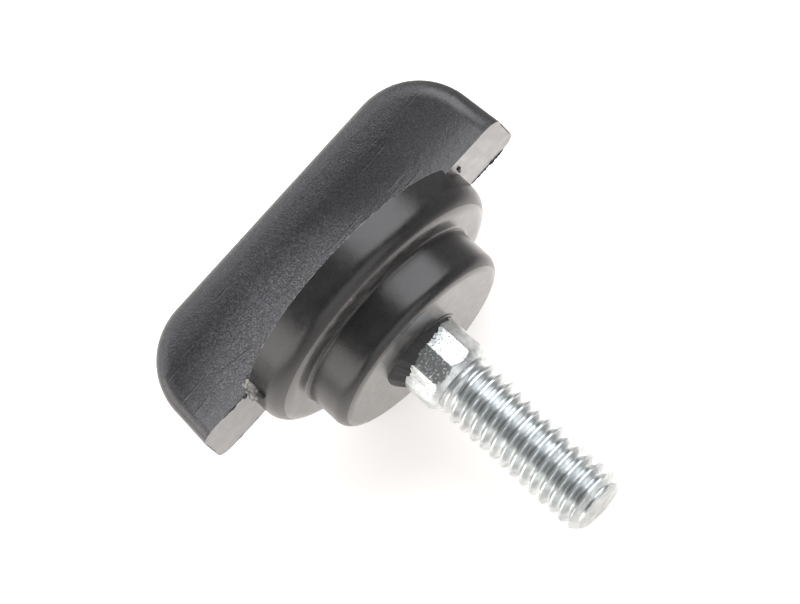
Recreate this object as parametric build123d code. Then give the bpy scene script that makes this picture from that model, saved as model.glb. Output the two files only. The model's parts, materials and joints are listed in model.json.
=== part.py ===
from build123d import *
import math
import os

# Driving dimensions in millimetres: the steel stud, with a thread of 32 turns to the inch.
thread_diameter = 4.17
thread_length = 10.5
tip_chamfer_radial = 0.42
tip_chamfer_axial = 0.52
collar_across_corners = 4.9
collar_length = 3.75
collar_chamfer_axial = 0.78
anchor_length = 6.5
groove_depth = 0.7
groove_width = 1.2
groove_from_end = 1.6

# Driving dimensions of the moulded base: boss and flange.
boss_diameter = 13.2
boss_height = 2.6
boss_rim_round = 0.85
boss_root_round = 0.25
flange_diameter = 18.1
flange_thickness = 3.0
flange_rim_round = 1.75

# Driving dimensions of the moulded grip.
grip_length = 26.0
grip_height = 7.0
grip_sink = 0.35
grip_corner_round = 4.5
grip_thickness = 4.7
grip_band_height = 2.6
grip_foot_flare = 0.8
grip_edge_round = 1.15
cut_overrun = 2.0

# Driving counts, angles and shares.
collar_flat_count = 10
collar_turn_deg = 25.5
grip_end_flare_deg = 6.0
quarter_turn_deg = 90.0
wall_limit_share = 0.9
match_share = 1e-4

# Radii and levels worked out from them. Level zero is the underside of the boss.
thread_radius = thread_diameter / 2
collar_radius = collar_across_corners / 2
boss_radius = boss_diameter / 2
flange_radius = flange_diameter / 2
groove_radius = collar_radius - groove_depth
groove_top = anchor_length - groove_from_end
groove_bottom = groove_top - groove_width
tip_radius = thread_radius - tip_chamfer_radial
tip_end = -(collar_length + thread_length)
thread_end = tip_end + tip_chamfer_axial
collar_shoulder = collar_chamfer_axial - collar_length
flange_top = boss_height + flange_thickness
grip_foot = flange_top - grip_sink
grip_top = grip_foot + grip_height
near = match_share * thread_radius

# Rounds that their own walls limit.
flange_step = flange_radius - boss_radius - boss_root_round
rim_round = min(flange_rim_round, wall_limit_share * min(flange_step, flange_thickness))
boss_round = min(boss_rim_round, wall_limit_share * (boss_height - boss_root_round))
edge_round = min(grip_edge_round, wall_limit_share * min(grip_thickness / 2, grip_band_height))


def turned(points):
    """A solid turned about Z from an outline of radius and height pairs."""
    return revolve(Plane.XZ * make_face(Polyline(*points, close=True)), Axis.Z)


def rim(solid, radius, level):
    """The round edges of a solid at one radius and level."""
    circles = solid.edges().filter_by(GeomType.CIRCLE)
    return [e for e in circles if abs(e.radius - radius) < near and abs(e.center().Z - level) < near]


def make_steel_stud():
    """Rolled shank, pressed collar with flats, and a grooved anchor inside the moulding."""
    shank = turned([
        (0, -collar_length),
        (thread_radius, -collar_length),
        (thread_radius, thread_end),
        (tip_radius, tip_end),
        (0, tip_end),
    ])
    flats = RegularPolygon(collar_radius, collar_flat_count, rotation=collar_turn_deg)
    bar = Pos(0, 0, -collar_length) * extrude(flats, collar_length + anchor_length)
    envelope = turned([
        (0, -collar_length),
        (thread_radius, -collar_length),
        (collar_radius, collar_shoulder),
        (collar_radius, groove_bottom),
        (groove_radius, groove_bottom),
        (groove_radius, groove_top),
        (collar_radius, groove_top),
        (collar_radius, anchor_length),
        (0, anchor_length),
    ])
    return (bar & envelope) + shank


def make_base():
    """Flange and boss, from the turned half of the mould."""
    base = turned([
        (0, 0),
        (boss_radius, 0),
        (boss_radius, boss_height),
        (flange_radius, boss_height),
        (flange_radius, flange_top),
        (0, flange_top),
    ])
    base = fillet(rim(base, flange_radius, boss_height), rim_round)
    base = fillet(rim(base, boss_radius, boss_height), boss_root_round)
    return fillet(rim(base, boss_radius, 0), boss_round)


def grip_outline():
    """Front outline of the grip: straight foot and top, flared ends, two round corners."""
    half_foot = grip_length / 2
    half_top = half_foot - grip_height * math.tan(math.radians(grip_end_flare_deg))
    outline = make_face(Polyline(
        (-half_foot, grip_foot),
        (half_foot, grip_foot),
        (half_top, grip_top),
        (-half_top, grip_top),
        close=True,
    ))
    return fillet(outline.vertices().sort_by(Axis.Y)[-2:], grip_corner_round)


def grip_section():
    """End section of the grip: plain band above, both faces curving out to the foot."""
    half_band = grip_thickness / 2
    half_foot = half_band + grip_foot_flare
    band_foot = grip_top - grip_band_height
    flare_height = band_foot - grip_foot
    flare_radius = (flare_height ** 2 + grip_foot_flare ** 2) / (grip_foot_flare + grip_foot_flare)
    half_turn = math.asin(flare_height / flare_radius) / 2
    mid_out = half_band + flare_radius * (1 - math.cos(half_turn))
    mid_level = band_foot - flare_radius * math.sin(half_turn)
    right = [
        ThreePointArc((half_foot, grip_foot), (mid_out, mid_level), (half_band, band_foot)),
        Line((half_band, band_foot), (half_band, grip_top)),
    ]
    left = [
        ThreePointArc((-half_foot, grip_foot), (-mid_out, mid_level), (-half_band, band_foot)),
        Line((-half_band, band_foot), (-half_band, grip_top)),
    ]
    foot = Line((-half_foot, grip_foot), (half_foot, grip_foot))
    top = Line((-half_band, grip_top), (half_band, grip_top))
    return make_face([foot, *right, top, *left])


def make_grip():
    """Front outline crossed with the end section, with its finger edges rounded."""
    half_band = grip_thickness / 2
    slab = extrude(Plane.XZ * grip_outline(), half_band + grip_foot_flare + cut_overrun, both=True)
    bar = extrude(Plane.YZ * grip_section(), grip_length / 2 + cut_overrun, both=True)
    grip = slab & bar
    lengthwise = grip.edges().filter_by(Axis.X)
    below_top = [e for e in lengthwise if e.center().Z < grip_top - near]
    on_faces = [e for e in grip.edges() if abs(e.center().Y) > half_band - near]
    return fillet([e for e in on_faces if e not in below_top], edge_round)


def make_moulded_head():
    """One moulding round the stud, so its cavity is the stud's own form."""
    return make_base() + make_grip() - make_steel_stud()


def rest_tilt():
    """Tilt in degrees of the line that touches the flange rim and the end of the thread."""
    reach = flange_radius - rim_round - thread_radius
    run = boss_height + rim_round - thread_end
    turn = math.acos(-rim_round / math.hypot(reach, run)) - math.atan2(run, reach)
    return math.degrees(turn)


# Laid as it comes to rest, on the flange rim and the thread's end, with the origin under the middle.
lay = Rot(rest_tilt() - quarter_turn_deg, 0, 0)
nodes = {"moulded_head": lay * make_moulded_head(), "steel_stud": lay * make_steel_stud()}
box = Compound(list(nodes.values())).bounding_box()
seat = Pos(-box.center().X, -box.center().Y, -box.min.Z)

os.makedirs("parts", exist_ok=True)
for name, solid in nodes.items():
    export_step(seat * solid, "parts/" + name + ".step")
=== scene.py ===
import json
import math
import random
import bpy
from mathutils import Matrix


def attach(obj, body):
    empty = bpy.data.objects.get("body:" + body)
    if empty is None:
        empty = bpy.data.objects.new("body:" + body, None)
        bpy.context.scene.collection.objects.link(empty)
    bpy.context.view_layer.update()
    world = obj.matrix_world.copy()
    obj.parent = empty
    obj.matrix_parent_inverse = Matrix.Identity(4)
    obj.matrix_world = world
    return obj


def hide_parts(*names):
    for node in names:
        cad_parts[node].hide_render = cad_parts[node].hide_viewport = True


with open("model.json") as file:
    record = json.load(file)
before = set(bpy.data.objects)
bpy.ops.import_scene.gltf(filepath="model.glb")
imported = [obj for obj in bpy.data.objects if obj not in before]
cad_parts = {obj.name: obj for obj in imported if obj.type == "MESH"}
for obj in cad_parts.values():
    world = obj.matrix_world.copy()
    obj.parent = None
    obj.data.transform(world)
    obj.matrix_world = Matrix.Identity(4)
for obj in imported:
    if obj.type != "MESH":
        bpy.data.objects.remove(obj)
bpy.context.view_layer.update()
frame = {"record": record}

from types import SimpleNamespace

import bmesh
import bpy
from bpy.props import FloatProperty, FloatVectorProperty, IntProperty, PointerProperty
from mathutils import Matrix, Vector, noise

bl_info = {
    "name": "Thumb Screw",
    "version": (1, 0, 0),
    "blender": (4, 5, 0),
    "location": "View3D > Sidebar > Thumb Screw",
    "description": "Builds a moulded thumb screw with a plated steel stud, and its studio",
    "category": "Object",
}

MM = 0.001
INCH_MM = 25.4
IMAGE_SIZE = (800, 604)
SENSOR_WIDTH_MM = 36.0
FAR_CLIP_M = 10.0
POLYAMIDE_IOR = 1.53
WALL_FINISH = "black polyamide, turned mould wall"


def linear(hex_colour):
    """Linear red, green and blue of an sRGB hex colour."""
    channels = [int(hex_colour[i:i + 2], 16) / 255 for i in (1, 3, 5)]
    return tuple(c / 12.92 if c <= 0.04045 else ((c + 0.055) / 1.055) ** 2.4 for c in channels)


def size(mm, name, description):
    """A length property, written in millimetres and kept in metres."""
    return FloatProperty(name=name, description=description, default=mm * MM, unit="LENGTH", precision=5)


def colour(hex_colour, name, description):
    """A colour property, written as an sRGB hex value."""
    return FloatVectorProperty(
        name=name, description=description, default=linear(hex_colour), size=3, subtype="COLOR", min=0, max=1)


def angle(degrees, name, description):
    """An angle property, written in degrees and kept in radians."""
    return FloatProperty(name=name, description=description, default=math.radians(degrees), subtype="ANGLE")


def number(value, name, description):
    """A property without a unit, such as a brightness."""
    return FloatProperty(name=name, description=description, default=value)


def vector(values, name, description):
    """A property of several numbers, such as a direction."""
    return FloatVectorProperty(name=name, description=description, default=values, size=len(values))


class ThumbScrewHead(bpy.types.PropertyGroup):
    """Sizes of the moulded head, level zero being the underside of its boss."""
    bead_radius: size(2.62, "Bead radius", "Outside of the fine bead round the collar")
    bead_height: size(0.07, "Bead height", "How far the bead stands out of the boss")
    bead_round: size(0.05, "Bead round", "Round on the bead's edge")
    boss_radius: size(6.6, "Boss radius", "Outside of the boss")
    boss_height: size(3.0, "Boss height", "From the boss's underside to the flange")
    boss_round: size(0.85, "Boss round", "Round on the boss's lower edge")
    root_round: size(0.25, "Root round", "Hollow where the boss meets the flange")
    flange_radius: size(8.95, "Flange radius", "Outside of the flange")
    flange_thickness: size(2.6, "Flange thickness", "Height of the flange")
    flange_round: size(1.3, "Flange round", "Round on the flange's lower edge")
    grip_length: size(25.6, "Grip length", "Length of the grip at its foot")
    grip_height: size(7.0, "Grip height", "From the grip's foot to its top")
    grip_sink: size(0.35, "Grip sink", "How far the foot lies below the flange's top")
    grip_corner: size(4.5, "Grip corner", "Round of the grip's two upper corners")
    grip_thickness: size(4.7, "Grip thickness", "Thickness of the plain band at the top")
    grip_band: size(2.6, "Grip band", "Height of the plain band")
    grip_flare: size(0.8, "Grip flare", "How far each face curves out to the foot")
    grip_edge: size(1.15, "Grip edge", "Round on the grip's finger edges")
    end_slope: angle(4.4, "End slope", "Lean of the grip's two ends")


class ThumbScrewStud(bpy.types.PropertyGroup):
    """Sizes of the steel stud."""
    thread_radius: size(2.085, "Thread radius", "Outside of the thread")
    thread_depth: size(0.44, "Thread depth", "From crest to root")
    thread_pitch: size(INCH_MM / 32, "Thread pitch", "Distance from crest to crest")
    thread_length: size(11.1, "Thread length", "From the collar to the tip")
    tip_radial: size(0.42, "Tip chamfer, across", "Chamfer at the tip, measured across the stud")
    tip_axial: size(0.52, "Tip chamfer, along", "Chamfer at the tip, measured along the stud")
    collar_radius: size(2.45, "Collar radius", "Collar, to the corners of its flats")
    collar_length: size(3.15, "Collar length", "From the boss to the thread")
    collar_chamfer: size(0.62, "Collar chamfer", "Length of the rounded cone at the collar's end")
    collar_edge: size(0.06, "Collar edge", "Softness of the collar's pressed edges")
    anchor_length: size(6.5, "Anchor length", "Length inside the moulding")
    groove_depth: size(0.7, "Groove depth", "Depth of the anchor's groove")
    groove_width: size(1.2, "Groove width", "Width of the anchor's groove")
    groove_from_end: size(1.6, "Groove from end", "From the anchor's end to its groove")
    collar_turn: angle(25.5, "Collar turn", "Turn of the flats")
    collar_flats: IntProperty(
        name="Collar flats", description="Flats pressed on the collar", default=10, min=3)


class ThumbScrewFlash(bpy.types.PropertyGroup):
    """Sizes of the ragged moulding flash."""
    rim_height: size(0.05, "Rim flash", "Highest flash on the flange's upper edge")
    rim_width: size(0.07, "Rim flash width", "Width of that flash at its foot")
    # The skin is a thin dark sheet of plastic round the collar's foot.
    skin_height: size(0.85, "Skin height", "How far plastic crept up the collar at most")
    skin_width: size(0.55, "Skin width", "Thickness of that skin at its foot, at most")
    skin_turn: angle(205, "Skin turn", "Side of the collar with most of it")
    seed: IntProperty(name="Seed", description="Start of the random draws", default=7)


class ThumbScrewFinish(bpy.types.PropertyGroup):
    """Colours of the finishes."""
    polyamide: colour("#262628", "Polyamide", "Grained black polyamide of the grip")
    # Pale grain tops: partly wear, partly painted glints.
    polyamide_rubbed_and_glint: colour("#6a696f", "Rubbed and glinting polyamide", "Grain tops rubbed pale by handling")
    polyamide_scratch: colour("#161616", "Scratch", "Bottom of a scratch on the grip")
    polyamide_polished: colour("#1e1d1e", "Polished polyamide", "Smooth black polyamide of boss and flange")
    polyamide_torn: colour("#98948f", "Torn polyamide", "Stretched, whitened edge of the flash")
    dust: colour("#8f8b87", "Dust", "Dust on the smooth polyamide")
    zinc: colour("#d2d6d6", "Zinc", "Bright zinc plating")
    zinc_dull: colour("#b2b6b7", "Dull zinc", "Zinc plating where it has dulled")
    floor: colour("#dedad6", "Floor", "Studio floor")
    # Painted shade: a darker floor that only reflections see.
    floor_reflected_dark: colour("#8c8a88", "Darker floor in reflections", "Studio floor on the +X side, as reflections see it")


class ThumbScrewStage(bpy.types.PropertyGroup):
    """Camera and light."""
    azimuth: angle(-0.173, "Azimuth", "Camera's turn about the upright")
    axis_angle: angle(76.171, "Axis angle", "Between the camera's view and the screw's axis")
    roll: angle(-47.526, "Roll", "Camera's turn about its own view")
    distance: size(669.9, "Distance", "From the camera to the boss")
    pixels_per_mm: number(17.056, "Pixels per mm", "Scale of the picture at the boss")
    boss_pixel: vector((422.92, 347.47), "Boss pixel", "Where the boss's middle is in the picture")
    key_distance: size(420, "Key distance", "From the object to each soft box")
    key_radius: size(240, "Key radius", "Radius of the soft box")
    key_radiance: number(3.7, "Key radiance", "Brightness of the soft box")
    key_towards: vector((0.7, 0.02, 0.71), "Key towards", "Where the soft box stands")
    key_tint: colour("#fbfcff", "Key tint", "Colour of both soft boxes")
    back_radius: size(165, "Back radius", "Radius of the soft box behind")
    back_radiance: number(3.6, "Back radiance", "Brightness of the soft box behind")
    back_towards: vector((-0.22, 0.6, 0.77), "Back towards", "Where the soft box behind stands")
    panel_distance: size(400, "Panel distance", "From the middle to each low panel")
    panel_width: size(620, "Panel width", "Width of each low panel")
    panel_height: size(290, "Panel height", "Height of each low panel")
    panel_gap: size(5, "Panel gap", "From the floor to each low panel")
    panel_radiance: number(2.8, "Side radiance", "Brightness of the panel on the -X side")
    panel_towards: vector((-1, 0.1, 0), "Side towards", "Where the panel on the -X side stands")
    panel_tint: colour("#fffbf6", "Side tint", "Colour of the panel on the -X side")
    front_radiance: number(1.2, "Front radiance", "Brightness of the panel in front")
    front_towards: vector((0, -1, 0), "Front towards", "Where the panel in front stands")
    front_tint: colour("#ffffff", "Front tint", "Colour of the panel in front")
    room_radiance: number(0.19, "Room radiance", "Brightness of the room")
    wall_radiance: number(1.0, "Wall radiance", "Brightness of the wall behind")
    floor_half: size(3000, "Floor", "Half the side of the floor")
    floor_glow: number(0.52, "Floor glow", "What lifts the floor to white for the camera")
    floor_tint: colour("#fffefd", "Floor tint", "Colour of that glow")
    mirror_glow: number(0.95, "Mirror glow", "The floor's glow as reflections see it")
    mirror_tint: colour("#fff9f5", "Mirror tint", "Colour of that glow")
    mirror_shift: size(4, "Mirror shift", "How far to +X the middle of that glow lies")
    mirror_edge: size(9, "Mirror edge", "How far to +X from there it is full")
    mirror_end: size(17, "Mirror end", "Where it has faded")


# The screw's own frame: +Z up the grip, -Z to the tip, +X along the grip, origin at the boss's underside.
TIP_MOUNT = next(m for m in frame["record"]["mounts"] if m["name"] == "tip_face")
UP_GRIP = -Vector(TIP_MOUNT["axis"]).normalized()
ALONG = Vector((1, 0, 0))
ACROSS = UP_GRIP.cross(ALONG)


def screw_origin(stud):
    """Middle of the boss's underside, from the stud's end face that the record gives."""
    return Vector(TIP_MOUNT["pos_m"]) + UP_GRIP * (stud.collar_length + stud.thread_length)


def screw_matrix(stud):
    """Screw frame to row frame, without scale."""
    turn = Matrix((ALONG, ACROSS, UP_GRIP)).transposed().to_4x4()
    return Matrix.Translation(screw_origin(stud)) @ turn


def in_mm(group):
    """A group's lengths in millimetres, and its other values as they are."""
    values = {}
    for name, prop in group.bl_rna.properties.items():
        if name in group.__annotations__:
            value = getattr(group, name)
            values[name] = value / MM if prop.unit == "LENGTH" else value
    return SimpleNamespace(**values)


def levels(head):
    """Levels of the flange's top and of the grip's foot, which lies sunk in it."""
    flange_top = head.boss_height + head.flange_thickness
    return flange_top, flange_top - head.grip_sink


def add(tree, kind, inputs=(), **settings):
    """Adds a node with its settings, its input values and its links."""
    node = tree.nodes.new(kind)
    for name, value in settings.items():
        setattr(node, name, value)
    for key, value in dict(inputs).items():
        if isinstance(value, bpy.types.NodeSocket):
            tree.links.new(value, node.inputs[key])
        else:
            node.inputs[key].default_value = value
    return node


def new_material(name):
    """An empty node material, and its node tree."""
    material = bpy.data.materials.new(name)
    material.use_nodes = True
    material.node_tree.nodes.clear()
    return material, material.node_tree


def screw_coordinates(tree, stud):
    """Millimetres in the screw's frame."""
    place = screw_matrix(stud)
    where = add(tree, "ShaderNodeTexCoord").outputs["Object"]
    return add(tree, "ShaderNodeMapping", {
        "Vector": where,
        "Location": place.to_translation(),
        "Rotation": place.to_euler(),
        "Scale": (MM, MM, MM),
    }, vector_type="TEXTURE").outputs["Vector"]


def scratch_mark(tree, place, start, end, width):
    """One straight scratch on the grip's faces, between two points along and up it: 1 on it, 0 off it."""
    along, up = end[0] - start[0], end[1] - start[1]
    local = add(tree, "ShaderNodeMapping", {
        "Vector": place,
        "Location": ((start[0] + end[0]) / 2, 0, (start[1] + end[1]) / 2),
        "Rotation": (0, -math.atan2(up, along), 0),
        "Scale": (math.hypot(along, up) / 2, 1, width / 2),
    }, vector_type="TEXTURE").outputs["Vector"]
    apart = add(tree, "ShaderNodeVectorMath", {0: local}, operation="ABSOLUTE").outputs[0]
    parts = add(tree, "ShaderNodeSeparateXYZ", {0: apart})
    far = add(tree, "ShaderNodeMath", {
        0: parts.outputs[0], 1: parts.outputs[2]}, operation="MAXIMUM").outputs[0]
    return add(tree, "ShaderNodeMapRange", {
        "Value": far, "From Min": 0.5, "From Max": 1.0, "To Min": 1.0, "To Max": 0.0}).outputs[0]


def ring_coordinates(tree, place):
    """Coordinates of radius and level, for marks that run round the screw."""
    parts = add(tree, "ShaderNodeSeparateXYZ", {0: place}).outputs
    across = add(tree, "ShaderNodeCombineXYZ", {0: parts[0], 1: parts[1]}).outputs[0]
    radius = add(tree, "ShaderNodeVectorMath", {0: across}, operation="LENGTH").outputs["Value"]
    return add(tree, "ShaderNodeCombineXYZ", {0: radius, 2: parts[2]}).outputs[0]


# Ends of the deeper scratches that the photograph shows on the grip, along and up it, and their width.
DEEP_SCRATCHES = (
    ((-9.5, 7.46), (-6.28, 6.97)),
    ((-3.83, 7.87), (-2.3, 7.59)),
    ((-6.36, 10.56), (-4.6, 10.65)),
)
DEEP_SCRATCH_WIDTH = 0.13


def grained_polyamide(context):
    """Polyamide moulded against a spark-eroded steel face.

    The fine pebble grain breaks each reflection into specks. Its tops are painted pale, partly as wear from
    handling and partly as painted glints, and handling has left a few scratches along the grip.
    """
    finish = context.scene.thumb_screw_finish
    head = in_mm(context.scene.thumb_screw_head)
    foot = levels(head)[1]
    top = foot + head.grip_height
    material, tree = new_material("black polyamide, spark-grained")
    place = screw_coordinates(tree, context.scene.thumb_screw_stud)
    # The grain lies in a coarser unevenness; its pale tops, partly wear and partly painted glints, vary in
    # patches.
    grain_mm, pit_mm, patch_mm = 0.11, 0.5, 5.0
    grain_height_mm, pit_share, scratch_share = 0.025, 0.6, -0.6
    grain = add(tree, "ShaderNodeTexNoise", {
        "Vector": place, "Scale": 1 / grain_mm, "Detail": 3.0, "Roughness": 0.65}).outputs[0]
    pits = add(tree, "ShaderNodeTexNoise", {
        "Vector": place, "Scale": 1 / pit_mm, "Detail": 2.0}).outputs[0]
    patch = add(tree, "ShaderNodeTexNoise", {
        "Vector": place, "Scale": 1 / patch_mm, "Detail": 4.0, "Roughness": 0.6}).outputs[0]
    # Hair scratches run nearly along the grip: noise 6 mm long and 0.2 mm wide, of which only the peaks show.
    hair_slope, hair_scale = math.radians(8), (0.16, 0.5, 4.5)
    lengthwise = add(tree, "ShaderNodeMapping", {
        "Vector": place, "Rotation": (0, hair_slope, 0), "Scale": hair_scale}).outputs["Vector"]
    streak = add(tree, "ShaderNodeTexNoise", {
        "Vector": lengthwise, "Scale": 1.0, "Detail": 2.0, "Distortion": 0.15}).outputs[0]
    scratch = add(tree, "ShaderNodeMapRange", {
        "Value": streak, "From Min": 0.64, "From Max": 0.72, "To Max": 0.6}).outputs[0]
    for start, end in DEEP_SCRATCHES:
        mark = scratch_mark(tree, place, start, end, DEEP_SCRATCH_WIDTH)
        scratch = add(tree, "ShaderNodeMath", {0: scratch, 1: mark}, operation="MAXIMUM").outputs[0]
    # Pale grain tops: partly wear from handling, partly painted glints of the grain.
    rubbed_and_glint = add(tree, "ShaderNodeMapRange", {
        "Value": grain, "From Min": 0.44, "From Max": 0.74}).outputs[0]
    wear = add(tree, "ShaderNodeMapRange", {
        "Value": patch, "From Min": 0.25, "From Max": 0.75, "To Min": 0.4, "To Max": 0.62}).outputs[0]
    rubbed_and_glint = add(tree, "ShaderNodeMath", {0: rubbed_and_glint, 1: wear}, operation="MULTIPLY").outputs[0]
    # Painted sheen: the hollow above the flange is painted paler than the rest, most on its -X side; the same
    # field lifts the grain's relief there.
    sheen_x, sheen_stretch, through = -4.0, 1.6, 100
    hollow = add(tree, "ShaderNodeMapping", {
        "Vector": place, "Location": (sheen_x, 0, foot), "Scale": (sheen_stretch, through, 1),
    }, vector_type="TEXTURE").outputs["Vector"]
    away = add(tree, "ShaderNodeVectorMath", {0: hollow}, operation="LENGTH").outputs["Value"]
    sheen_and_relief = add(tree, "ShaderNodeMapRange", {
        "Value": away, "From Min": 2.6, "From Max": 5.6, "To Min": 2.0, "To Max": 0.5}).outputs[0]
    # The grain stands highest along the top, where fingers have rubbed it least.
    fresh_mm = 1.0
    level = add(tree, "ShaderNodeSeparateXYZ", {0: place}).outputs[2]
    edge = add(tree, "ShaderNodeMapRange", {
        "Value": level, "From Min": top - head.grip_band, "From Max": top - fresh_mm,
        "To Min": 0.5, "To Max": 2.8}).outputs[0]
    relief = add(tree, "ShaderNodeMath", {0: sheen_and_relief, 1: edge}, operation="MAXIMUM").outputs[0]
    # The painted sheen lightens the grain tops in the hollow.
    rubbed_and_glint = add(tree, "ShaderNodeMath", {0: rubbed_and_glint, 1: sheen_and_relief}, operation="MULTIPLY").outputs[0]
    shade = add(tree, "ShaderNodeMix", {
        0: rubbed_and_glint, 6: (*finish.polyamide, 1), 7: (*finish.polyamide_rubbed_and_glint, 1)}, data_type="RGBA").outputs[2]
    shade = add(tree, "ShaderNodeMix", {
        0: add(tree, "ShaderNodeMath", {0: scratch, 1: 0.6}, operation="MULTIPLY").outputs[0],
        6: shade, 7: (*finish.polyamide_scratch, 1)}, data_type="RGBA").outputs[2]
    rough = add(tree, "ShaderNodeMapRange", {
        "Value": patch, "From Min": 0.3, "From Max": 0.7, "To Min": 0.22, "To Max": 0.32}).outputs[0]
    height = add(tree, "ShaderNodeMath", {0: grain, 1: relief}, operation="MULTIPLY").outputs[0]
    height = add(tree, "ShaderNodeMath", {
        0: pits, 1: pit_share, 2: height}, operation="MULTIPLY_ADD").outputs[0]
    height = add(tree, "ShaderNodeMath", {
        0: scratch, 1: scratch_share, 2: height}, operation="MULTIPLY_ADD").outputs[0]
    bump = add(tree, "ShaderNodeBump", {
        "Strength": 1.0, "Distance": grain_height_mm * MM, "Height": height}).outputs[0]
    shader = add(tree, "ShaderNodeBsdfPrincipled", {
        "Base Color": shade, "Roughness": rough, "IOR": POLYAMIDE_IOR, "Normal": bump})
    add(tree, "ShaderNodeOutputMaterial", {"Surface": shader.outputs[0]})
    return material


def polished_polyamide(context, name, coat, roughness, dusty, turned, grime):
    """Polyamide moulded against a turned and polished steel face: glossy, with faint rings left by the lathe.

    The flat faces of the mould were lapped. They give a paler, milky mirror, which is the coat, and hold more
    dust and grime.
    """
    finish = context.scene.thumb_screw_finish
    material, tree = new_material(name)
    place = screw_coordinates(tree, context.scene.thumb_screw_stud)
    ring = ring_coordinates(tree, place)
    # Turning marks, a slight flow ripple, an orange peel, smudges and specks of dust.
    ring_mm, ripple_mm, peel_mm, smudge_mm, dust_mm = 0.15, 2.5, 0.25, 0.8, 0.15
    peel_height_mm, ripple_share = 0.006, 3.0
    rings = add(tree, "ShaderNodeTexNoise", {
        "Vector": ring, "Scale": 1 / ring_mm, "Detail": 2.0}).outputs[0]
    ripple = add(tree, "ShaderNodeTexNoise", {
        "Vector": place, "Scale": 1 / ripple_mm, "Detail": 2.0}).outputs[0]
    peel = add(tree, "ShaderNodeTexNoise", {
        "Vector": place, "Scale": 1 / peel_mm, "Detail": 3.0, "Roughness": 0.6}).outputs[0]
    smudge = add(tree, "ShaderNodeTexNoise", {
        "Vector": place, "Scale": 1 / smudge_mm, "Detail": 6.0, "Roughness": 0.75}).outputs[0]
    dust = add(tree, "ShaderNodeTexNoise", {
        "Vector": place, "Scale": 1 / dust_mm, "Detail": 2.0}).outputs[0]
    speck = add(tree, "ShaderNodeMapRange", {
        "Value": dust, "From Min": 0.66, "From Max": 0.74, "To Max": dusty}).outputs[0]
    shade = add(tree, "ShaderNodeMix", {
        0: speck, 6: (*finish.polyamide_polished, 1), 7: (*finish.dust, 1)}, data_type="RGBA").outputs[2]
    rough = add(tree, "ShaderNodeMapRange", {
        "Value": smudge, "From Min": 0.3, "From Max": 0.7,
        "To Min": roughness[0], "To Max": roughness[1]}).outputs[0]
    height = add(tree, "ShaderNodeMath", {
        0: ripple, 1: ripple_share, 2: peel}, operation="MULTIPLY_ADD").outputs[0]
    height = add(tree, "ShaderNodeMath", {
        0: rings, 1: turned, 2: height}, operation="MULTIPLY_ADD").outputs[0]
    bump = add(tree, "ShaderNodeBump", {
        "Strength": 1.0, "Distance": peel_height_mm * MM, "Height": height}).outputs[0]
    shader = add(tree, "ShaderNodeBsdfPrincipled", {
        "Base Color": shade, "Roughness": rough, "IOR": POLYAMIDE_IOR, "Normal": bump,
        "Coat Weight": coat, "Coat Roughness": 0.32, "Coat IOR": 1.5})
    # Grime dulls the face in clouds.
    film = add(tree, "ShaderNodeMapRange", {
        "Value": smudge, "From Min": 0.42, "From Max": 0.68, "To Max": grime}).outputs[0]
    grimy = add(tree, "ShaderNodeBsdfPrincipled", {
        "Base Color": (*finish.dust, 1), "Roughness": 0.55, "IOR": POLYAMIDE_IOR})
    surface = add(tree, "ShaderNodeMixShader", {
        0: film, 1: shader.outputs[0], 2: grimy.outputs[0]}).outputs[0]
    add(tree, "ShaderNodeOutputMaterial", {"Surface": surface})
    return material


def torn_polyamide(context, name, white_from):
    """Polyamide stretched and torn at the mould's parting: thin, rough, whitened in flecks where it tore."""
    finish = context.scene.thumb_screw_finish
    material, tree = new_material(name)
    place = screw_coordinates(tree, context.scene.thumb_screw_stud)
    fleck_mm, fleck_height_mm, whitening = 0.3, 0.03, 0.22
    fleck = add(tree, "ShaderNodeTexNoise", {
        "Vector": place, "Scale": 1 / fleck_mm, "Detail": 3.0}).outputs[0]
    white = add(tree, "ShaderNodeMapRange", {
        "Value": fleck, "From Min": white_from, "From Max": white_from + whitening}).outputs[0]
    shade = add(tree, "ShaderNodeMix", {
        0: white, 6: (*finish.polyamide, 1), 7: (*finish.polyamide_torn, 1)}, data_type="RGBA").outputs[2]
    bump = add(tree, "ShaderNodeBump", {
        "Strength": 1.0, "Distance": fleck_height_mm * MM, "Height": fleck}).outputs[0]
    shader = add(tree, "ShaderNodeBsdfPrincipled", {
        "Base Color": shade, "Roughness": 0.62, "IOR": POLYAMIDE_IOR, "Normal": bump})
    add(tree, "ShaderNodeOutputMaterial", {"Surface": shader.outputs[0]})
    return material


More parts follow.
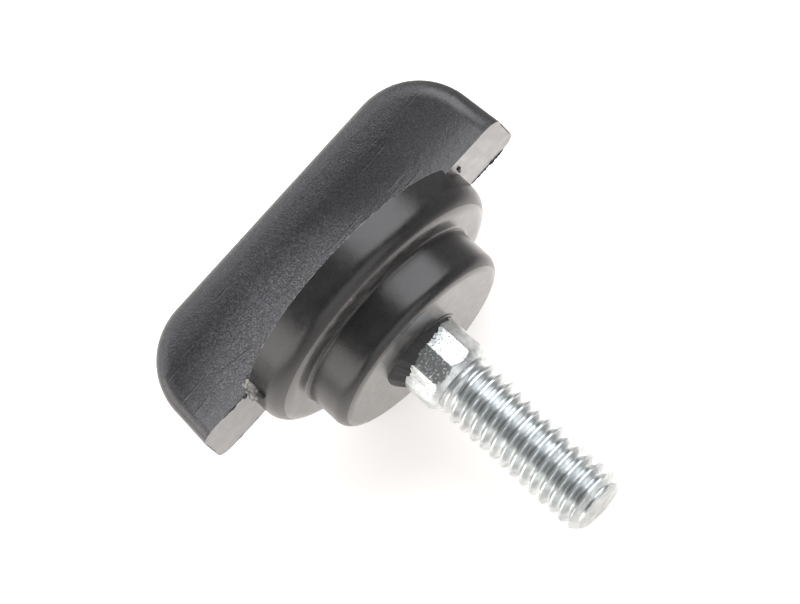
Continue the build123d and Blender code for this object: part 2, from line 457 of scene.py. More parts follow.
def zinc_plate(context):
    """Bright zinc plated on cold-formed steel: a soft mirror with frosty crystals and fine rolling lines."""
    finish = context.scene.thumb_screw_finish
    stud = in_mm(context.scene.thumb_screw_stud)
    material, tree = new_material("steel, bright zinc plated")
    place = screw_coordinates(tree, context.scene.thumb_screw_stud)
    # The crystals measure a few hundredths of a millimetre, and are drawn coarser so that they show.
    frost_mm, line_mm, cloud_mm = 0.14, 0.1, 0.7
    frost_height_mm, line_share = 0.02, 0.1
    frost = add(tree, "ShaderNodeTexNoise", {
        "Vector": place, "Scale": 1 / frost_mm, "Detail": 3.0, "Roughness": 0.65}).outputs[0]
    frost = add(tree, "ShaderNodeMapRange", {
        "Value": frost, "From Min": 0.56, "From Max": 0.8}).outputs[0]
    # Rolling lines run round the stud.
    lines = add(tree, "ShaderNodeTexNoise", {
        "Vector": ring_coordinates(tree, place), "Scale": 1 / line_mm, "Detail": 2.0}).outputs[0]
    # The plating is duller in clouds.
    cloud = add(tree, "ShaderNodeTexNoise", {
        "Vector": place, "Scale": 1 / cloud_mm, "Detail": 4.0, "Roughness": 0.6}).outputs[0]
    dull = add(tree, "ShaderNodeMapRange", {
        "Value": cloud, "From Min": 0.35, "From Max": 0.65}).outputs[0]
    shade = add(tree, "ShaderNodeMix", {
        0: dull, 6: (*finish.zinc, 1), 7: (*finish.zinc_dull, 1)}, data_type="RGBA").outputs[2]
    rough = add(tree, "ShaderNodeMapRange", {
        "Value": dull, "To Min": 0.28, "To Max": 0.4}).outputs[0]
    # The pressed collar is frostier than the rolled thread.
    level = add(tree, "ShaderNodeSeparateXYZ", {0: place}).outputs[2]
    change = 0.2
    share = add(tree, "ShaderNodeMapRange", {
        "Value": level, "From Min": -stud.collar_length - change, "From Max": -stud.collar_length + change,
        "To Min": 0.05, "To Max": 1.0}).outputs[0]
    frost = add(tree, "ShaderNodeMath", {0: frost, 1: share}, operation="MULTIPLY").outputs[0]
    height = add(tree, "ShaderNodeMath", {
        0: lines, 1: line_share, 2: frost}, operation="MULTIPLY_ADD").outputs[0]
    bump = add(tree, "ShaderNodeBump", {
        "Strength": 1.0, "Distance": frost_height_mm * MM, "Height": height}).outputs[0]
    shader = add(tree, "ShaderNodeBsdfPrincipled", {
        "Base Color": shade, "Metallic": 1.0, "Roughness": rough, "Normal": bump})
    add(tree, "ShaderNodeOutputMaterial", {"Surface": shader.outputs[0]})
    return material


def solid(name, points, faces):
    """A mesh object from points and faces, with its faces turned outwards."""
    mesh = bpy.data.meshes.new(name)
    mesh.from_pydata(points, [], faces)
    work = bmesh.new()
    work.from_mesh(mesh)
    bmesh.ops.recalc_face_normals(work, faces=work.faces)
    work.to_mesh(mesh)
    work.free()
    piece = bpy.data.objects.new(name, mesh)
    bpy.context.scene.collection.objects.link(piece)
    return piece


def combine(piece, tool, operation):
    """Joins, cuts or crosses a piece with a tool, which is used up."""
    modifier = piece.modifiers.new(operation, "BOOLEAN")
    modifier.operation = operation
    modifier.solver = "EXACT"
    modifier.object = tool
    bpy.context.view_layer.update()
    result = bpy.data.meshes.new_from_object(piece.evaluated_get(bpy.context.evaluated_depsgraph_get()))
    piece.modifiers.clear()
    piece.data = result
    bpy.data.objects.remove(tool)
    if not result.polygons:
        raise RuntimeError(f"{operation} left nothing of {piece.name}")
    return piece


def rounded(corners, guard=0.06, steps=14):
    """Outline points from corners of radius, level and round: a round becomes an arc between guard points."""
    points = []
    for i, (x, y, round_) in enumerate(corners):
        here = Vector((x, y))
        if not round_:
            points.append(here)
            continue
        before = Vector(corners[i - 1][:2]) - here
        after = Vector(corners[i + 1][:2]) - here
        reach = round_ / math.tan(before.angle(after) / 2)
        middle = (before.normalized() + after.normalized()).normalized()
        centre = here + middle * math.hypot(reach, round_)
        first = here + before.normalized() * reach
        last = here + after.normalized() * reach
        spare = min(guard, round_ / 4)
        points.append(first + before.normalized() * spare)
        turn = (first - centre).angle_signed(last - centre)
        for k in range(steps + 1):
            points.append(centre + Matrix.Rotation(-turn * k / steps, 2) @ (first - centre))
        points.append(last + after.normalized() * spare)
    return points


def lathe(name, outline, count, shape=None):
    """A solid turned about Z from an outline that begins and ends on the axis. A shape may press it in."""
    points = [(0, 0, outline[0][1])]
    for x, y in outline[1:-1]:
        for k in range(count):
            a = math.tau * k / count
            reach = shape(x, a) if shape else x
            points.append((reach * math.cos(a), reach * math.sin(a), y))
    points.append((0, 0, outline[-1][1]))
    rings = len(outline) - 2
    faces = []
    for k in range(count):
        after = (k + 1) % count
        faces.append((0, 1 + k, 1 + after))
        for i in range(rings - 1):
            low, high = 1 + i * count, 1 + (i + 1) * count
            faces.append((low + k, high + k, high + after, low + after))
        top = 1 + (rings - 1) * count
        faces.append((len(points) - 1, top + after, top + k))
    return solid(name, points, faces)


def make_base(head, count=288):
    """Flange, boss and bead, turned."""
    flange_top = levels(head)[0]
    outline = rounded([
        (0, -head.bead_height, 0),
        (head.bead_radius, -head.bead_height, head.bead_round),
        (head.bead_radius, 0, 0),
        (head.boss_radius, 0, head.boss_round),
        (head.boss_radius, head.boss_height, head.root_round),
        (head.flange_radius, head.boss_height, head.flange_round),
        (head.flange_radius, flange_top, 0),
        (0, flange_top, 0),
    ])
    return lathe("head_moulding", outline, count)


def between_rows(rows):
    """Four-sided faces between each row of vertices and the next."""
    faces = []
    for lower, upper in zip(rows, rows[1:]):
        faces += zip(lower, lower[1:], upper[1:], upper)
    return faces


def make_grip(head, columns=120, side_rows=10, corner_rows=26, edge_rings=9, wall_rows=4):
    """The flat grip: leaning ends, two round corners, faces curved out to the foot, rounded finger edges."""
    foot = levels(head)[1]
    top = foot + head.grip_height
    half_band = head.grip_thickness / 2
    band_foot = top - head.grip_band
    rise = band_foot - foot
    hollow = (rise ** 2 + head.grip_flare ** 2) / (2 * head.grip_flare)
    slope, corner, edge = head.end_slope, head.grip_corner, head.grip_edge

    def half(level):
        """Half the grip's thickness at a level."""
        drop = max(0, band_foot - level)
        return half_band + hollow - math.sqrt(hollow ** 2 - drop ** 2)

    # Centre of the corner round on the +X side, at the round's own distance from the end and the top.
    centre_z = top - corner
    end_x = head.grip_length / 2 - (centre_z - foot) * math.tan(slope)
    centre_x = end_x - corner / math.cos(slope)

    def side(inset):
        """Points up the +X end and round its corner, inset from the outline."""
        reach = corner - inset
        last_z = centre_z + reach * math.sin(slope)
        points = []
        for i in range(side_rows):
            z = foot + (last_z - foot) * i / side_rows
            points.append((head.grip_length / 2 - (z - foot) * math.tan(slope) - inset / math.cos(slope), z))
        for i in range(corner_rows + 1):
            a = slope + (math.pi / 2 - slope) * i / corner_rows
            points.append((centre_x + reach * math.cos(a), centre_z + reach * math.sin(a)))
        return points

    points, index = [], {}

    def vertex(x, y, z):
        """Index of the point at a place, which is made only once."""
        key = (round(x, 6), round(y, 6), round(z, 6))
        if key not in index:
            index[key] = len(points)
            points.append((x, y, z))
        return index[key]

    shares = [2 * j / columns - 1 for j in range(columns + 1)]
    faces = []
    walls = {}
    feet = {}
    for face in (-1, 1):
        rings = []
        for k in range(edge_rings + 1):
            a = math.pi / 2 * k / edge_rings
            inset, drop = edge * (1 - math.cos(a)), edge * (1 - math.sin(a))
            ends = side(inset)
            path = [(-x, z) for x, z in ends]
            path += [(ends[-1][0] * t, ends[-1][1]) for t in shares[1:-1]]
            path += reversed(ends)
            rings.append([vertex(x, face * (half(z) - drop), z) for x, z in path])
        rows = [[vertex(x * t, face * half(z), z) for t in shares] for x, z in side(edge)]
        faces += between_rows(rings) + between_rows(rows)
        walls[face] = rings[0]
        feet[face] = [r[0] for r in rings[:-1]] + rows[0] + [r[-1] for r in reversed(rings[:-1])]
    strips = [walls[-1]]
    for w in range(1, wall_rows):
        t = w / wall_rows
        strip = []
        for low, high in zip(walls[-1], walls[1]):
            x, y, z = Vector(points[low]).lerp(Vector(points[high]), t)
            strip.append(vertex(x, y, z))
        strips.append(strip)
    strips.append(walls[1])
    faces += between_rows(strips)
    left = [s[0] for s in strips[1:-1]]
    right = [s[-1] for s in strips[1:-1]]
    faces.append(tuple(feet[-1] + right + list(reversed(feet[1])) + list(reversed(left))))
    return solid("grip", points, faces)


def pressed(stud, radius, turn):
    """A radius with the collar's flats pressed in, their edges left soft."""
    flat = math.pi / stud.collar_flats
    off_middle = (turn - stud.collar_turn) % (2 * flat) - flat
    limit = stud.collar_radius * math.cos(flat) / math.cos(off_middle)
    blend = min(1, max(0, 0.5 + 0.5 * (limit - radius) / stud.collar_edge))
    return limit + (radius - limit) * blend - stud.collar_edge * blend * (1 - blend)


def make_collar(stud, name, columns=360, cone_rows=16):
    """The pressed collar with its rounded end, and the grooved anchor that the moulding grips."""
    end = -stud.collar_length
    groove_top = stud.anchor_length - stud.groove_from_end
    groove = stud.collar_radius - stud.groove_depth
    rise = stud.collar_radius - stud.thread_radius
    outline = [(0, end)]
    for k in range(cone_rows + 1):
        t = k / cone_rows
        bulge = (t + math.sin(t * math.pi / 2)) / 2
        outline.append((stud.thread_radius + rise * bulge, end + stud.collar_chamfer * t))
    outline += [
        (stud.collar_radius, 0),
        (stud.collar_radius, groove_top - stud.groove_width),
        (groove, groove_top - stud.groove_width),
        (groove, groove_top),
        (stud.collar_radius, groove_top),
        (stud.collar_radius, stud.anchor_length),
        (0, stud.anchor_length),
    ]
    return lathe(name, outline, columns, lambda radius, turn: pressed(stud, radius, turn))


def thread_radius_at(stud, turn_share, level):
    """Radius of the rolled thread at a share of the pitch and a level."""
    crest_share, neck_share, runout_turns = 0.18, 0.55, 1.3
    t = abs(turn_share % 1 - 0.5) * 2
    # Narrow crests stand between wide hollow valleys.
    flank = max(0, (t - crest_share) / (1 - crest_share))
    flank = 1 - (1 - flank) ** 2
    radius = stud.thread_radius - stud.thread_depth * flank
    # The thread runs out into the neck under the collar.
    below = -stud.collar_length - level
    share = min(1, max(0, below / (runout_turns * stud.thread_pitch)))
    share = share * share * (3 - 2 * share)
    neck = stud.thread_radius - neck_share * stud.thread_depth
    radius = neck + (radius - neck) * share
    # The tip's chamfer cuts the first turn down.
    tip = -(stud.collar_length + stud.thread_length)
    cone = stud.thread_radius - stud.tip_radial * (1 - (level - tip) / stud.tip_axial)
    return min(radius, cone)


def make_thread(stud, columns=144, samples=28, overlap=0.4, spare_turns=1.5):
    """Rolled right-hand thread: a grid whose rows follow the helix, trimmed flat at both ends.

    It starts spare turns below the tip, and ends some way inside the collar.
    """
    pitch = stud.thread_pitch
    tip = -(stud.collar_length + stud.thread_length)
    neck = -stud.collar_length + overlap
    rows = math.ceil((neck - tip) / pitch * samples) + round(2 * spare_turns * samples)
    start = tip - spare_turns * pitch
    points, faces = [], []
    for i in range(rows + 1):
        for j in range(columns):
            level = start + pitch * (i / samples + j / columns)
            a = math.tau * j / columns
            radius = thread_radius_at(stud, i / samples, max(tip, level))
            points.append((radius * math.cos(a), radius * math.sin(a), level))
    for i in range(rows):
        for j in range(columns):
            if j + 1 < columns:
                low, high = i * columns + j + 1, (i + 1) * columns + j + 1
            elif i + 1 + samples <= rows:
                low, high = (i + samples) * columns, (i + 1 + samples) * columns
            else:
                continue
            faces.append((i * columns + j, low, high, (i + 1) * columns + j))
    piece = solid("zinc_stud", points, faces)
    work = bmesh.new()
    work.from_mesh(piece.data)
    for level, up in ((tip, -1), (neck, 1)):
        cut = bmesh.ops.bisect_plane(
            work, geom=work.verts[:] + work.edges[:] + work.faces[:], plane_co=(0, 0, level),
            plane_no=(0, 0, up), clear_outer=True)
        rim = [e for e in cut["geom_cut"] if isinstance(e, bmesh.types.BMEdge)]
        bmesh.ops.contextual_create(work, geom=rim)
    bmesh.ops.recalc_face_normals(work, faces=work.faces)
    work.to_mesh(piece.data)
    work.free()
    return piece


def add_fin(work, stations, material):
    """Adds a ragged fin of flash: each station has its foot, half its width and its rise."""
    rings = []
    for foot, across, rise in stations:
        rings.append([work.verts.new(foot + reach) for reach in (-across, across, rise)])
    faces = [work.faces.new(rings[0]), work.faces.new(reversed(rings[-1]))]
    for low, high in zip(rings, rings[1:]):
        for k in range(3):
            faces.append(work.faces.new((low[k], high[k], high[(k + 1) % 3], low[(k + 1) % 3])))
    for face in faces:
        face.material_index = material


def add_lump(work, centre, radii, seed, material):
    """Adds a torn crumb of plastic."""
    coarse, coarse_swell, fine, fine_swell = 1.6, 0.28, 4, 0.12
    made = bmesh.ops.create_icosphere(work, subdivisions=3, radius=1.0)
    for vertex in made["verts"]:
        way = vertex.co.normalized()
        swell = 1 + coarse_swell * noise.noise(way * coarse + Vector((seed, 0, 0)))
        swell += fine_swell * noise.noise(way * fine + Vector((0, seed, 0)))
        vertex.co = Vector(centre) + Vector(radii) * way * swell
    for face in {f for v in made["verts"] for f in v.link_faces}:
        face.material_index = material


def ragged(draw, place, highest):
    """Height of a torn edge at a place along it: mostly low, with teeth."""
    teeth_per_mm, tooth_bias = 2.2, 0.25
    foot_share, tooth_share, draw_share = 0.12, 0.75, 0.3
    tooth = max(0, noise.noise(Vector((place * teeth_per_mm, 0, 0))) + tooth_bias)
    return highest * (foot_share + tooth_share * tooth + draw_share * draw.random())


def add_skin(work, stud, flash, material, columns=400, gap=0.003):
    """Adds a thin dark skin of plastic round the foot of the collar's flats.

    Its shoulder is smooth and its upper edge is ragged.
    """
    lean_middle, lean_swing, thinning, least_width, inner_share = 0.55, 0.45, 1.9, 0.15, 0.75
    broad_teeth, fine_teeth, fine_share, tooth_share = 5.0, 19.0, 0.5, 0.3
    shoulder_share, least_shoulder, least_reach = 0.35, 0.12, 1.3
    rings = []
    for k in range(columns):
        a = math.tau * k / columns
        radius = pressed(stud, stud.collar_radius, a) + gap
        out = Vector((math.cos(a), math.sin(a), 0))
        # It is thickest on the side that faces -X, and lies as teeth elsewhere.
        lean = lean_middle + lean_swing * math.cos(a - flash.skin_turn)
        teeth = noise.noise(out * broad_teeth) + fine_share * noise.noise(out * fine_teeth)
        width = flash.skin_width * max(least_width, 1 - thinning * (1 - lean))
        shoulder = shoulder_share * flash.skin_height * max(least_shoulder, lean)
        reach = max(least_reach * shoulder, flash.skin_height * (lean + tooth_share * teeth))
        rings.append([
            work.verts.new(out * radius),
            work.verts.new(out * (radius + width)),
            work.verts.new(out * (radius + inner_share * width) - Vector((0, 0, shoulder))),
            work.verts.new(out * radius - Vector((0, 0, reach))),
        ])
    for low, high in zip(rings, rings[1:] + rings[:1]):
        for k in range(4):
            face = work.faces.new((low[k], high[k], high[(k + 1) % 4], low[(k + 1) % 4]))
            face.material_index = material


def make_flash(head, stud, flash):
    """Flash on the flange's upper edge, torn edges of the grip's foot, crumbs at the parting and the skin."""
    draw = random.Random(flash.seed)
    work = bmesh.new()
    flange_top, foot = levels(head)
    half_foot = head.grip_thickness / 2 + head.grip_flare
    half_length = head.grip_length / 2
    bury = 0.02
    pale, dark, skin = range(3)
    # Shifts that give each torn edge its own stretch of the noise.
    rim_shift, fin_shift = 5, 90
    # A low torn line follows the flange's upper edge on both sides of the grip.
    rim_steps, rim_inset, rim_sway = 260, 0.005, 0.02
    half_rim = flash.rim_width / 2
    clear = math.asin(half_foot / head.flange_radius) + math.radians(1.0)
    for start in (0, math.pi):
        stations = []
        for k in range(rim_steps + 1):
            a = start + clear + (math.pi - 2 * clear) * k / rim_steps
            out = Vector((math.cos(a), math.sin(a), 0))
            base = out * (head.flange_radius - half_rim - rim_inset) + Vector((0, 0, flange_top - bury))
            rise = bury + ragged(draw, a * head.flange_radius + rim_shift, flash.rim_height)
            sway = out * rim_sway * draw.uniform(-1, 1)
            stations.append((base, out * half_rim, Vector((0, 0, rise)) + sway))
        add_fin(work, stations, pale)
    # Fins hang from the edges of the grip's foot.
    fin_step, fin_inset, half_fin, fin_sway = 0.05, 0.05, 0.04, 0.03
    least_steps, fin_taper = 8, 6
    down = Vector((0, 0, -1))
    edges = (
        # start, end, across the fin, highest
        ((9.0, half_foot, 0), (11.9, half_foot, 0), (0, 1, 0), 0.16),
        ((half_length, -1.6, 0), (half_length, 1.9, 0), (1, 0, 0), 0.14),
        ((-11.0, -half_foot, 0), (-9.2, -half_foot, 0), (0, 1, 0), 0.13),
        ((-half_length, -1.8, 0), (-half_length, 1.2, 0), (1, 0, 0), 0.09),
        ((-11.9, half_foot, 0), (-9.0, half_foot, 0), (0, 1, 0), 0.03),
    )
    for start, end, across, highest in edges:
        start, end, across = Vector(start), Vector(end), Vector(across)
        inward = -across if start.dot(across) > 0 else across
        steps = max(least_steps, int((end - start).length / fin_step))
        stations = []
        for k in range(steps + 1):
            along = start.lerp(end, k / steps)
            base = along + inward * fin_inset + Vector((0, 0, foot + bury))
            fade = min(1, fin_taper * min(k, steps - k) / steps)
            rise = bury + fade * ragged(draw, along.x + along.y + highest * fin_shift, highest)
            sway = inward * fin_sway * draw.uniform(-0.5, 1)
            stations.append((base, across * half_fin, down * rise + sway))
        add_fin(work, stations, dark)
    # Crumbs sit where the flange's edge meets the grip's foot, and are placed from that corner.
    meet = math.sqrt(head.flange_radius ** 2 - half_foot ** 2)
    left, right = Vector((-meet, -half_foot, foot)), Vector((meet, -half_foot, foot))
    crumbs = (
        # middle, half its size along each axis, seed, material
        (left + Vector((0.24, 0.05, 0.32)), (0.22, 0.22, 0.40), 1.0, skin),
        (left + Vector((-0.10, -0.04, 0.0)), (0.40, 0.32, 0.58), 2.0, pale),
        (left + Vector((0.28, -0.08, -0.26)), (0.26, 0.26, 0.62), 3.0, skin),
        (left + Vector((-0.40, 0.05, -0.42)), (0.24, 0.20, 0.30), 4.0, pale),
        (left + Vector((-0.02, -0.06, -0.70)), (0.22, 0.20, 0.32), 9.0, skin),
        (left + Vector((-0.75, 0.10, -0.05)), (0.17, 0.15, 0.13), 5.0, dark),
        (right + Vector((0.24, 0.20, 0.16)), (0.08, 0.08, 0.08), 6.0, dark),
        (right + Vector((0.78, 1.40, -0.03)), (0.14, 0.20, 0.10), 7.0, dark),
        (right + Vector((0.72, 2.00, -0.01)), (0.10, 0.16, 0.08), 8.0, pale),
    )
    for centre, radii, seed, material in crumbs:
        add_lump(work, centre, radii, seed, material)
    add_skin(work, stud, flash, skin)
    bmesh.ops.recalc_face_normals(work, faces=work.faces)
    mesh = bpy.data.meshes.new("mould_flash")
    work.to_mesh(mesh)
    work.free()
    piece = bpy.data.objects.new("mould_flash", mesh)
    bpy.context.scene.collection.objects.link(piece)
    return piece


def finish_piece(piece, stud_group, sharp, materials, replaced=None):
    """Puts a piece made in millimetres in its place, smooths it, and ties it to the frame."""
    mesh = piece.data
    mesh.transform(screw_matrix(stud_group) @ Matrix.Scale(MM, 4))
    mesh.materials.clear()
    for material in materials:
        mesh.materials.append(material)
    mesh.shade_smooth()
    mesh.set_sharp_from_angle(angle=sharp)
    mesh.update()
    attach(piece, "root")
    if replaced:
        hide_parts(replaced)


class THUMBSCREW_OT_head(bpy.types.Operator):
    """Builds the moulded head in one piece"""
    bl_idname = "thumb_screw.head"
    bl_label = "Moulded Head"

    def execute(self, context):
        head, stud = in_mm(context.scene.thumb_screw_head), in_mm(context.scene.thumb_screw_stud)
        piece = combine(make_base(head), make_grip(head), "UNION")
        combine(piece, make_collar(stud, "cavity"), "DIFFERENCE")
        flange_top, foot = levels(head)
        grained, wall, lapped = range(3)
        lapped_below = -0.85
        indices = []
        for face in piece.data.polygons:
            x, y, z = face.center
            on_grip = z > flange_top or (z > foot and math.hypot(x, y) > head.flange_radius)
            indices.append(lapped if face.normal.z < lapped_below else grained if on_grip else wall)
        finish_piece(piece, context.scene.thumb_screw_stud, math.radians(30), [
            grained_polyamide(context),
            polished_polyamide(
                context, WALL_FINISH, coat=0.0, roughness=(0.25, 0.35), dusty=0.08, turned=0.2, grime=0.02),
            polished_polyamide(
                context, "black polyamide, lapped mould face", coat=0.85, roughness=(0.28, 0.42), dusty=0.9,
                turned=0.02, grime=0.3),
        ], "moulded_head")
        piece.data.polygons.foreach_set("material_index", indices)
        return {"FINISHED"}


class THUMBSCREW_OT_stud(bpy.types.Operator):
    """Builds the plated steel stud: anchor, collar and rolled thread"""
    bl_idname = "thumb_screw.stud"
    bl_label = "Steel Stud"

    def execute(self, context):
        stud = in_mm(context.scene.thumb_screw_stud)
        piece = combine(make_thread(stud), make_collar(stud, "collar"), "UNION")
        finish_piece(piece, context.scene.thumb_screw_stud, math.radians(35),
                     [zinc_plate(context)], "steel_stud")
        return {"FINISHED"}


class THUMBSCREW_OT_flash(bpy.types.Operator):
    """Builds the ragged flash and crumbs that the mould left, and the dark skin round the collar's foot, once
    the head is there
    """
    bl_idname = "thumb_screw.flash"
    bl_label = "Mould Flash"

    def execute(self, context):
        scene = context.scene
        groups = (scene.thumb_screw_head, scene.thumb_screw_stud, scene.thumb_screw_flash)
        piece = make_flash(*(in_mm(group) for group in groups))
        indices = [face.material_index for face in piece.data.polygons]
        finish_piece(piece, scene.thumb_screw_stud, math.radians(40), [
            torn_polyamide(context, "black polyamide, torn flash", white_from=0.34),
            bpy.data.materials[WALL_FINISH],
            torn_polyamide(context, "black polyamide, collar skin", white_from=0.72),
        ])
        piece.data.polygons.foreach_set("material_index", indices)
        return {"FINISHED"}


class THUMBSCREW_OT_stage(bpy.types.Operator):
    """Sets the floor, the light and the camera"""
    bl_idname = "thumb_screw.stage"
    bl_label = "Stage"

    def execute(self, context):
        scene = context.scene
        stage = scene.thumb_screw_stage
        middle = screw_origin(scene.thumb_screw_stud)
        self.lay_floor(scene, stage)
        self.light(scene, stage, middle)
        self.set_camera(scene, stage, middle)
        scene.view_settings.view_transform = "Standard"
        return {"FINISHED"}

    def lay_floor(self, scene, stage):
        """A floor in matt white paint: even, white to the camera, and a patch of glow in reflections."""
        finish, half = scene.thumb_screw_finish, stage.floor_half
        corners = [(-half, -half, 0), (half, -half, 0), (half, half, 0), (-half, half, 0)]
        floor = solid("studio_floor", corners, [(0, 1, 2, 3)])
        material, tree = new_material("studio floor, matt white paint")
        path = add(tree, "ShaderNodeLightPath").outputs
        mirrored = add(tree, "ShaderNodeMath", {
            0: path["Is Glossy Ray"], 1: path["Is Transmission Ray"]}, operation="MAXIMUM").outputs[0]
        where = add(tree, "ShaderNodeNewGeometry").outputs["Position"]
        parts = add(tree, "ShaderNodeSeparateXYZ", {0: where})
        side = parts.outputs[0]
        # The glow reaches further on the -X side, is stronger under the object's +X half and fades ahead.
        left_share, left_glow, right_glow, ahead_glow = -0.3, 0.72, 1.12, 0.1
        shifted = add(tree, "ShaderNodeMath", {
            0: side, 1: stage.mirror_shift}, operation="SUBTRACT").outputs[0]
        left = add(tree, "ShaderNodeMath", {0: shifted, 1: left_share}, operation="MULTIPLY").outputs[0]
        along = add(tree, "ShaderNodeMath", {0: shifted, 1: left}, operation="MAXIMUM").outputs[0]
        lean = add(tree, "ShaderNodeMapRange", {
            "Value": side, "From Min": -stage.mirror_edge, "From Max": stage.mirror_edge,
            "To Min": left_glow, "To Max": right_glow}).outputs[0]
        ahead = add(tree, "ShaderNodeMapRange", {
            "Value": parts.outputs[1], "From Min": -stage.mirror_end, "From Max": -stage.mirror_edge,
            "To Min": ahead_glow, "To Max": 1.0}).outputs[0]
        fade = add(tree, "ShaderNodeMapRange", {
            "Value": along, "From Min": stage.mirror_edge, "From Max": stage.mirror_end,
            "To Min": stage.mirror_glow, "To Max": 0.0}).outputs[0]
        glow = add(tree, "ShaderNodeMath", {0: ahead, 1: fade}, operation="MULTIPLY").outputs[0]
        glow = add(tree, "ShaderNodeMath", {0: glow, 1: lean}, operation="MULTIPLY").outputs[0]
        glow = add(tree, "ShaderNodeMath", {0: mirrored, 1: glow}, operation="MULTIPLY").outputs[0]
        glow = add(tree, "ShaderNodeMath", {
            0: path["Is Camera Ray"], 1: stage.floor_glow, 2: glow}, operation="MULTIPLY_ADD").outputs[0]
        tint = add(tree, "ShaderNodeMix", {
            0: mirrored, 6: (*stage.floor_tint, 1), 7: (*stage.mirror_tint, 1)}, data_type="RGBA").outputs[2]
        # Painted shade in reflections: beyond the mirror's end on the +X side, only reflections see a darker
        # floor.
        beyond = add(tree, "ShaderNodeMapRange", {
            "Value": side, "From Min": stage.mirror_edge, "From Max": stage.mirror_end}).outputs[0]
        beyond = add(tree, "ShaderNodeMath", {0: beyond, 1: mirrored}, operation="MULTIPLY").outputs[0]
        base = add(tree, "ShaderNodeMix", {
            0: beyond, 6: (*finish.floor, 1), 7: (*finish.floor_reflected_dark, 1)}, data_type="RGBA").outputs[2]
        paint = add(tree, "ShaderNodeBsdfPrincipled", {
            "Base Color": base, "Roughness": 0.9, "Specular IOR Level": 0.0,
            "Emission Color": tint, "Emission Strength": glow})
        add(tree, "ShaderNodeOutputMaterial", {"Surface": paint.outputs[0]})
        floor.data.materials.append(material)

    def light(self, scene, stage, middle):
        """A room with a bright wall, two round soft boxes above and two low panels."""
        world = bpy.data.worlds.new("studio room")
        world.use_nodes = True
        world.node_tree.nodes.clear()
        tree = world.node_tree
        direction = add(tree, "ShaderNodeTexCoord").outputs["Generated"]
        facing = add(tree, "ShaderNodeVectorMath", {
            0: direction, 1: (0.0, 1.0, 0.0)}, operation="DOT_PRODUCT").outputs["Value"]
        wall = add(tree, "ShaderNodeMapRange", {
            "Value": facing, "From Min": 0.30, "From Max": 0.75,
            "To Min": stage.room_radiance, "To Max": stage.wall_radiance,
        }, interpolation_type="SMOOTHSTEP").outputs[0]
        room = add(tree, "ShaderNodeBackground", {"Color": (1, 1, 1, 1), "Strength": wall})
        add(tree, "ShaderNodeOutputWorld", {"Surface": room.outputs[0]})
        scene.world = world
        # One soft box stands on the +X side and one behind.
        for name, towards, radius, radiance in (
            ("soft box", stage.key_towards, stage.key_radius, stage.key_radiance),
            ("soft box behind", stage.back_towards, stage.back_radius, stage.back_radiance),
        ):
            lamp = bpy.data.lights.new(name, "AREA")
            lamp.shape = "DISK"
            lamp.size = 2 * radius
            lamp.color = stage.key_tint
            lamp.energy = radiance * math.pi * math.pi * radius ** 2
            towards = Vector(towards).normalized()
            self.hang(scene, lamp, middle + towards * stage.key_distance, towards)
        # One low panel stands on the -X side and one in front.
        for name, towards, tint, radiance in (
            ("low panel", stage.panel_towards, stage.panel_tint, stage.panel_radiance),
            ("front panel", stage.front_towards, stage.front_tint, stage.front_radiance),
        ):
            panel = bpy.data.lights.new(name, "AREA")
            panel.shape = "RECTANGLE"
            panel.color = tint
            panel.size = stage.panel_width
            panel.size_y = stage.panel_height
            panel.energy = radiance * math.pi * stage.panel_width * stage.panel_height
            towards = Vector(towards)
            lift = Vector((0, 0, stage.panel_height / 2 + stage.panel_gap))
            self.hang(scene, panel, towards * stage.panel_distance + lift, towards)

    def hang(self, scene, lamp, place, back):
        """Hangs a lamp at a place, with its back turned outwards."""
        carrier = bpy.data.objects.new(lamp.name.replace(" ", "_"), lamp)
        carrier.location = place
        carrier.rotation_euler = back.to_track_quat("Z", "Y").to_euler()
        carrier.visible_camera = False
        scene.collection.objects.link(carrier)

    def set_camera(self, scene, stage, middle):
        """A long lens at the photograph's angle, aimed so that the boss lies on its pixel."""
        elevation = stage.axis_angle - math.asin(UP_GRIP.z)
        flat = Vector((math.cos(stage.azimuth), math.sin(stage.azimuth), 0))
        back = Vector((math.sin(stage.azimuth) * math.cos(elevation),
                       -math.cos(stage.azimuth) * math.cos(elevation), math.sin(elevation)))
        level = back.cross(flat)
        right = flat * math.cos(stage.roll) + level * math.sin(stage.roll)
        up = back.cross(right)
        pixel = MM / stage.pixels_per_mm
        aim = middle + right * (IMAGE_SIZE[0] / 2 - stage.boss_pixel[0]) * pixel
        aim = aim + up * (stage.boss_pixel[1] - IMAGE_SIZE[1] / 2) * pixel
        lens = bpy.data.cameras.new("camera")
        lens.sensor_width = SENSOR_WIDTH_MM
        lens.lens = stage.pixels_per_mm * stage.distance / MM * SENSOR_WIDTH_MM / IMAGE_SIZE[0]
        lens.clip_end = FAR_CLIP_M
        camera = bpy.data.objects.new("camera", lens)
        turn = Matrix((right, up, back)).transposed().to_4x4()
        camera.matrix_world = Matrix.Translation(aim + back * stage.distance) @ turn
        scene.collection.objects.link(camera)
        scene.camera = camera


class THUMBSCREW_PT_panel(bpy.types.Panel):
    """Lists the sizes and the builders"""
    bl_idname = "THUMBSCREW_PT_panel"
    bl_label = "Thumb Screw"
    bl_space_type = "VIEW_3D"
    bl_region_type = "UI"
    bl_category = "Thumb Screw"

    def draw(self, context):
        for operator in OPERATORS:
            self.layout.operator(operator.bl_idname)
        for name in GROUPS:
            group = getattr(context.scene, name)
            box = self.layout.box()
            box.label(text=name.replace("_", " ").title())
            for key in group.__annotations__:
                box.prop(group, key)


GROUPS = {
    "thumb_screw_head": ThumbScrewHead,
    "thumb_screw_stud": ThumbScrewStud,
    "thumb_screw_flash": ThumbScrewFlash,
    "thumb_screw_finish": ThumbScrewFinish,
    "thumb_screw_stage": ThumbScrewStage,
}
OPERATORS = (THUMBSCREW_OT_head, THUMBSCREW_OT_stud, THUMBSCREW_OT_flash, THUMBSCREW_OT_stage)
CLASSES = (*GROUPS.values(), *OPERATORS, THUMBSCREW_PT_panel)


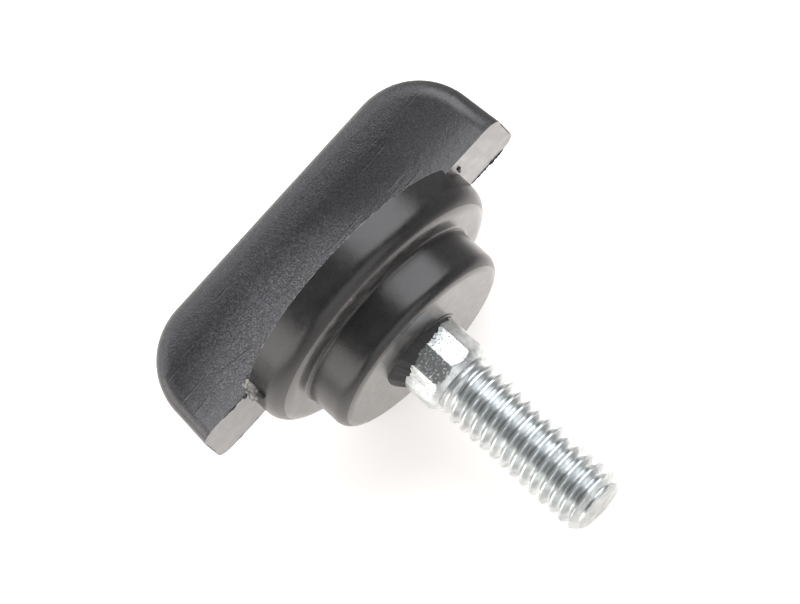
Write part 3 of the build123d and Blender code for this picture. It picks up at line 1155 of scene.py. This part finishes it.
def register():
    for cls in CLASSES:
        bpy.utils.register_class(cls)
    for name, group in GROUPS.items():
        setattr(bpy.types.Scene, name, PointerProperty(type=group))


def unregister():
    for name in GROUPS:
        delattr(bpy.types.Scene, name)
    for cls in reversed(CLASSES):
        bpy.utils.unregister_class(cls)


def main():
    register()
    bpy.ops.thumb_screw.head()
    bpy.ops.thumb_screw.stud()
    bpy.ops.thumb_screw.flash()
    bpy.ops.thumb_screw.stage()


if __name__ == "__main__":
    main()
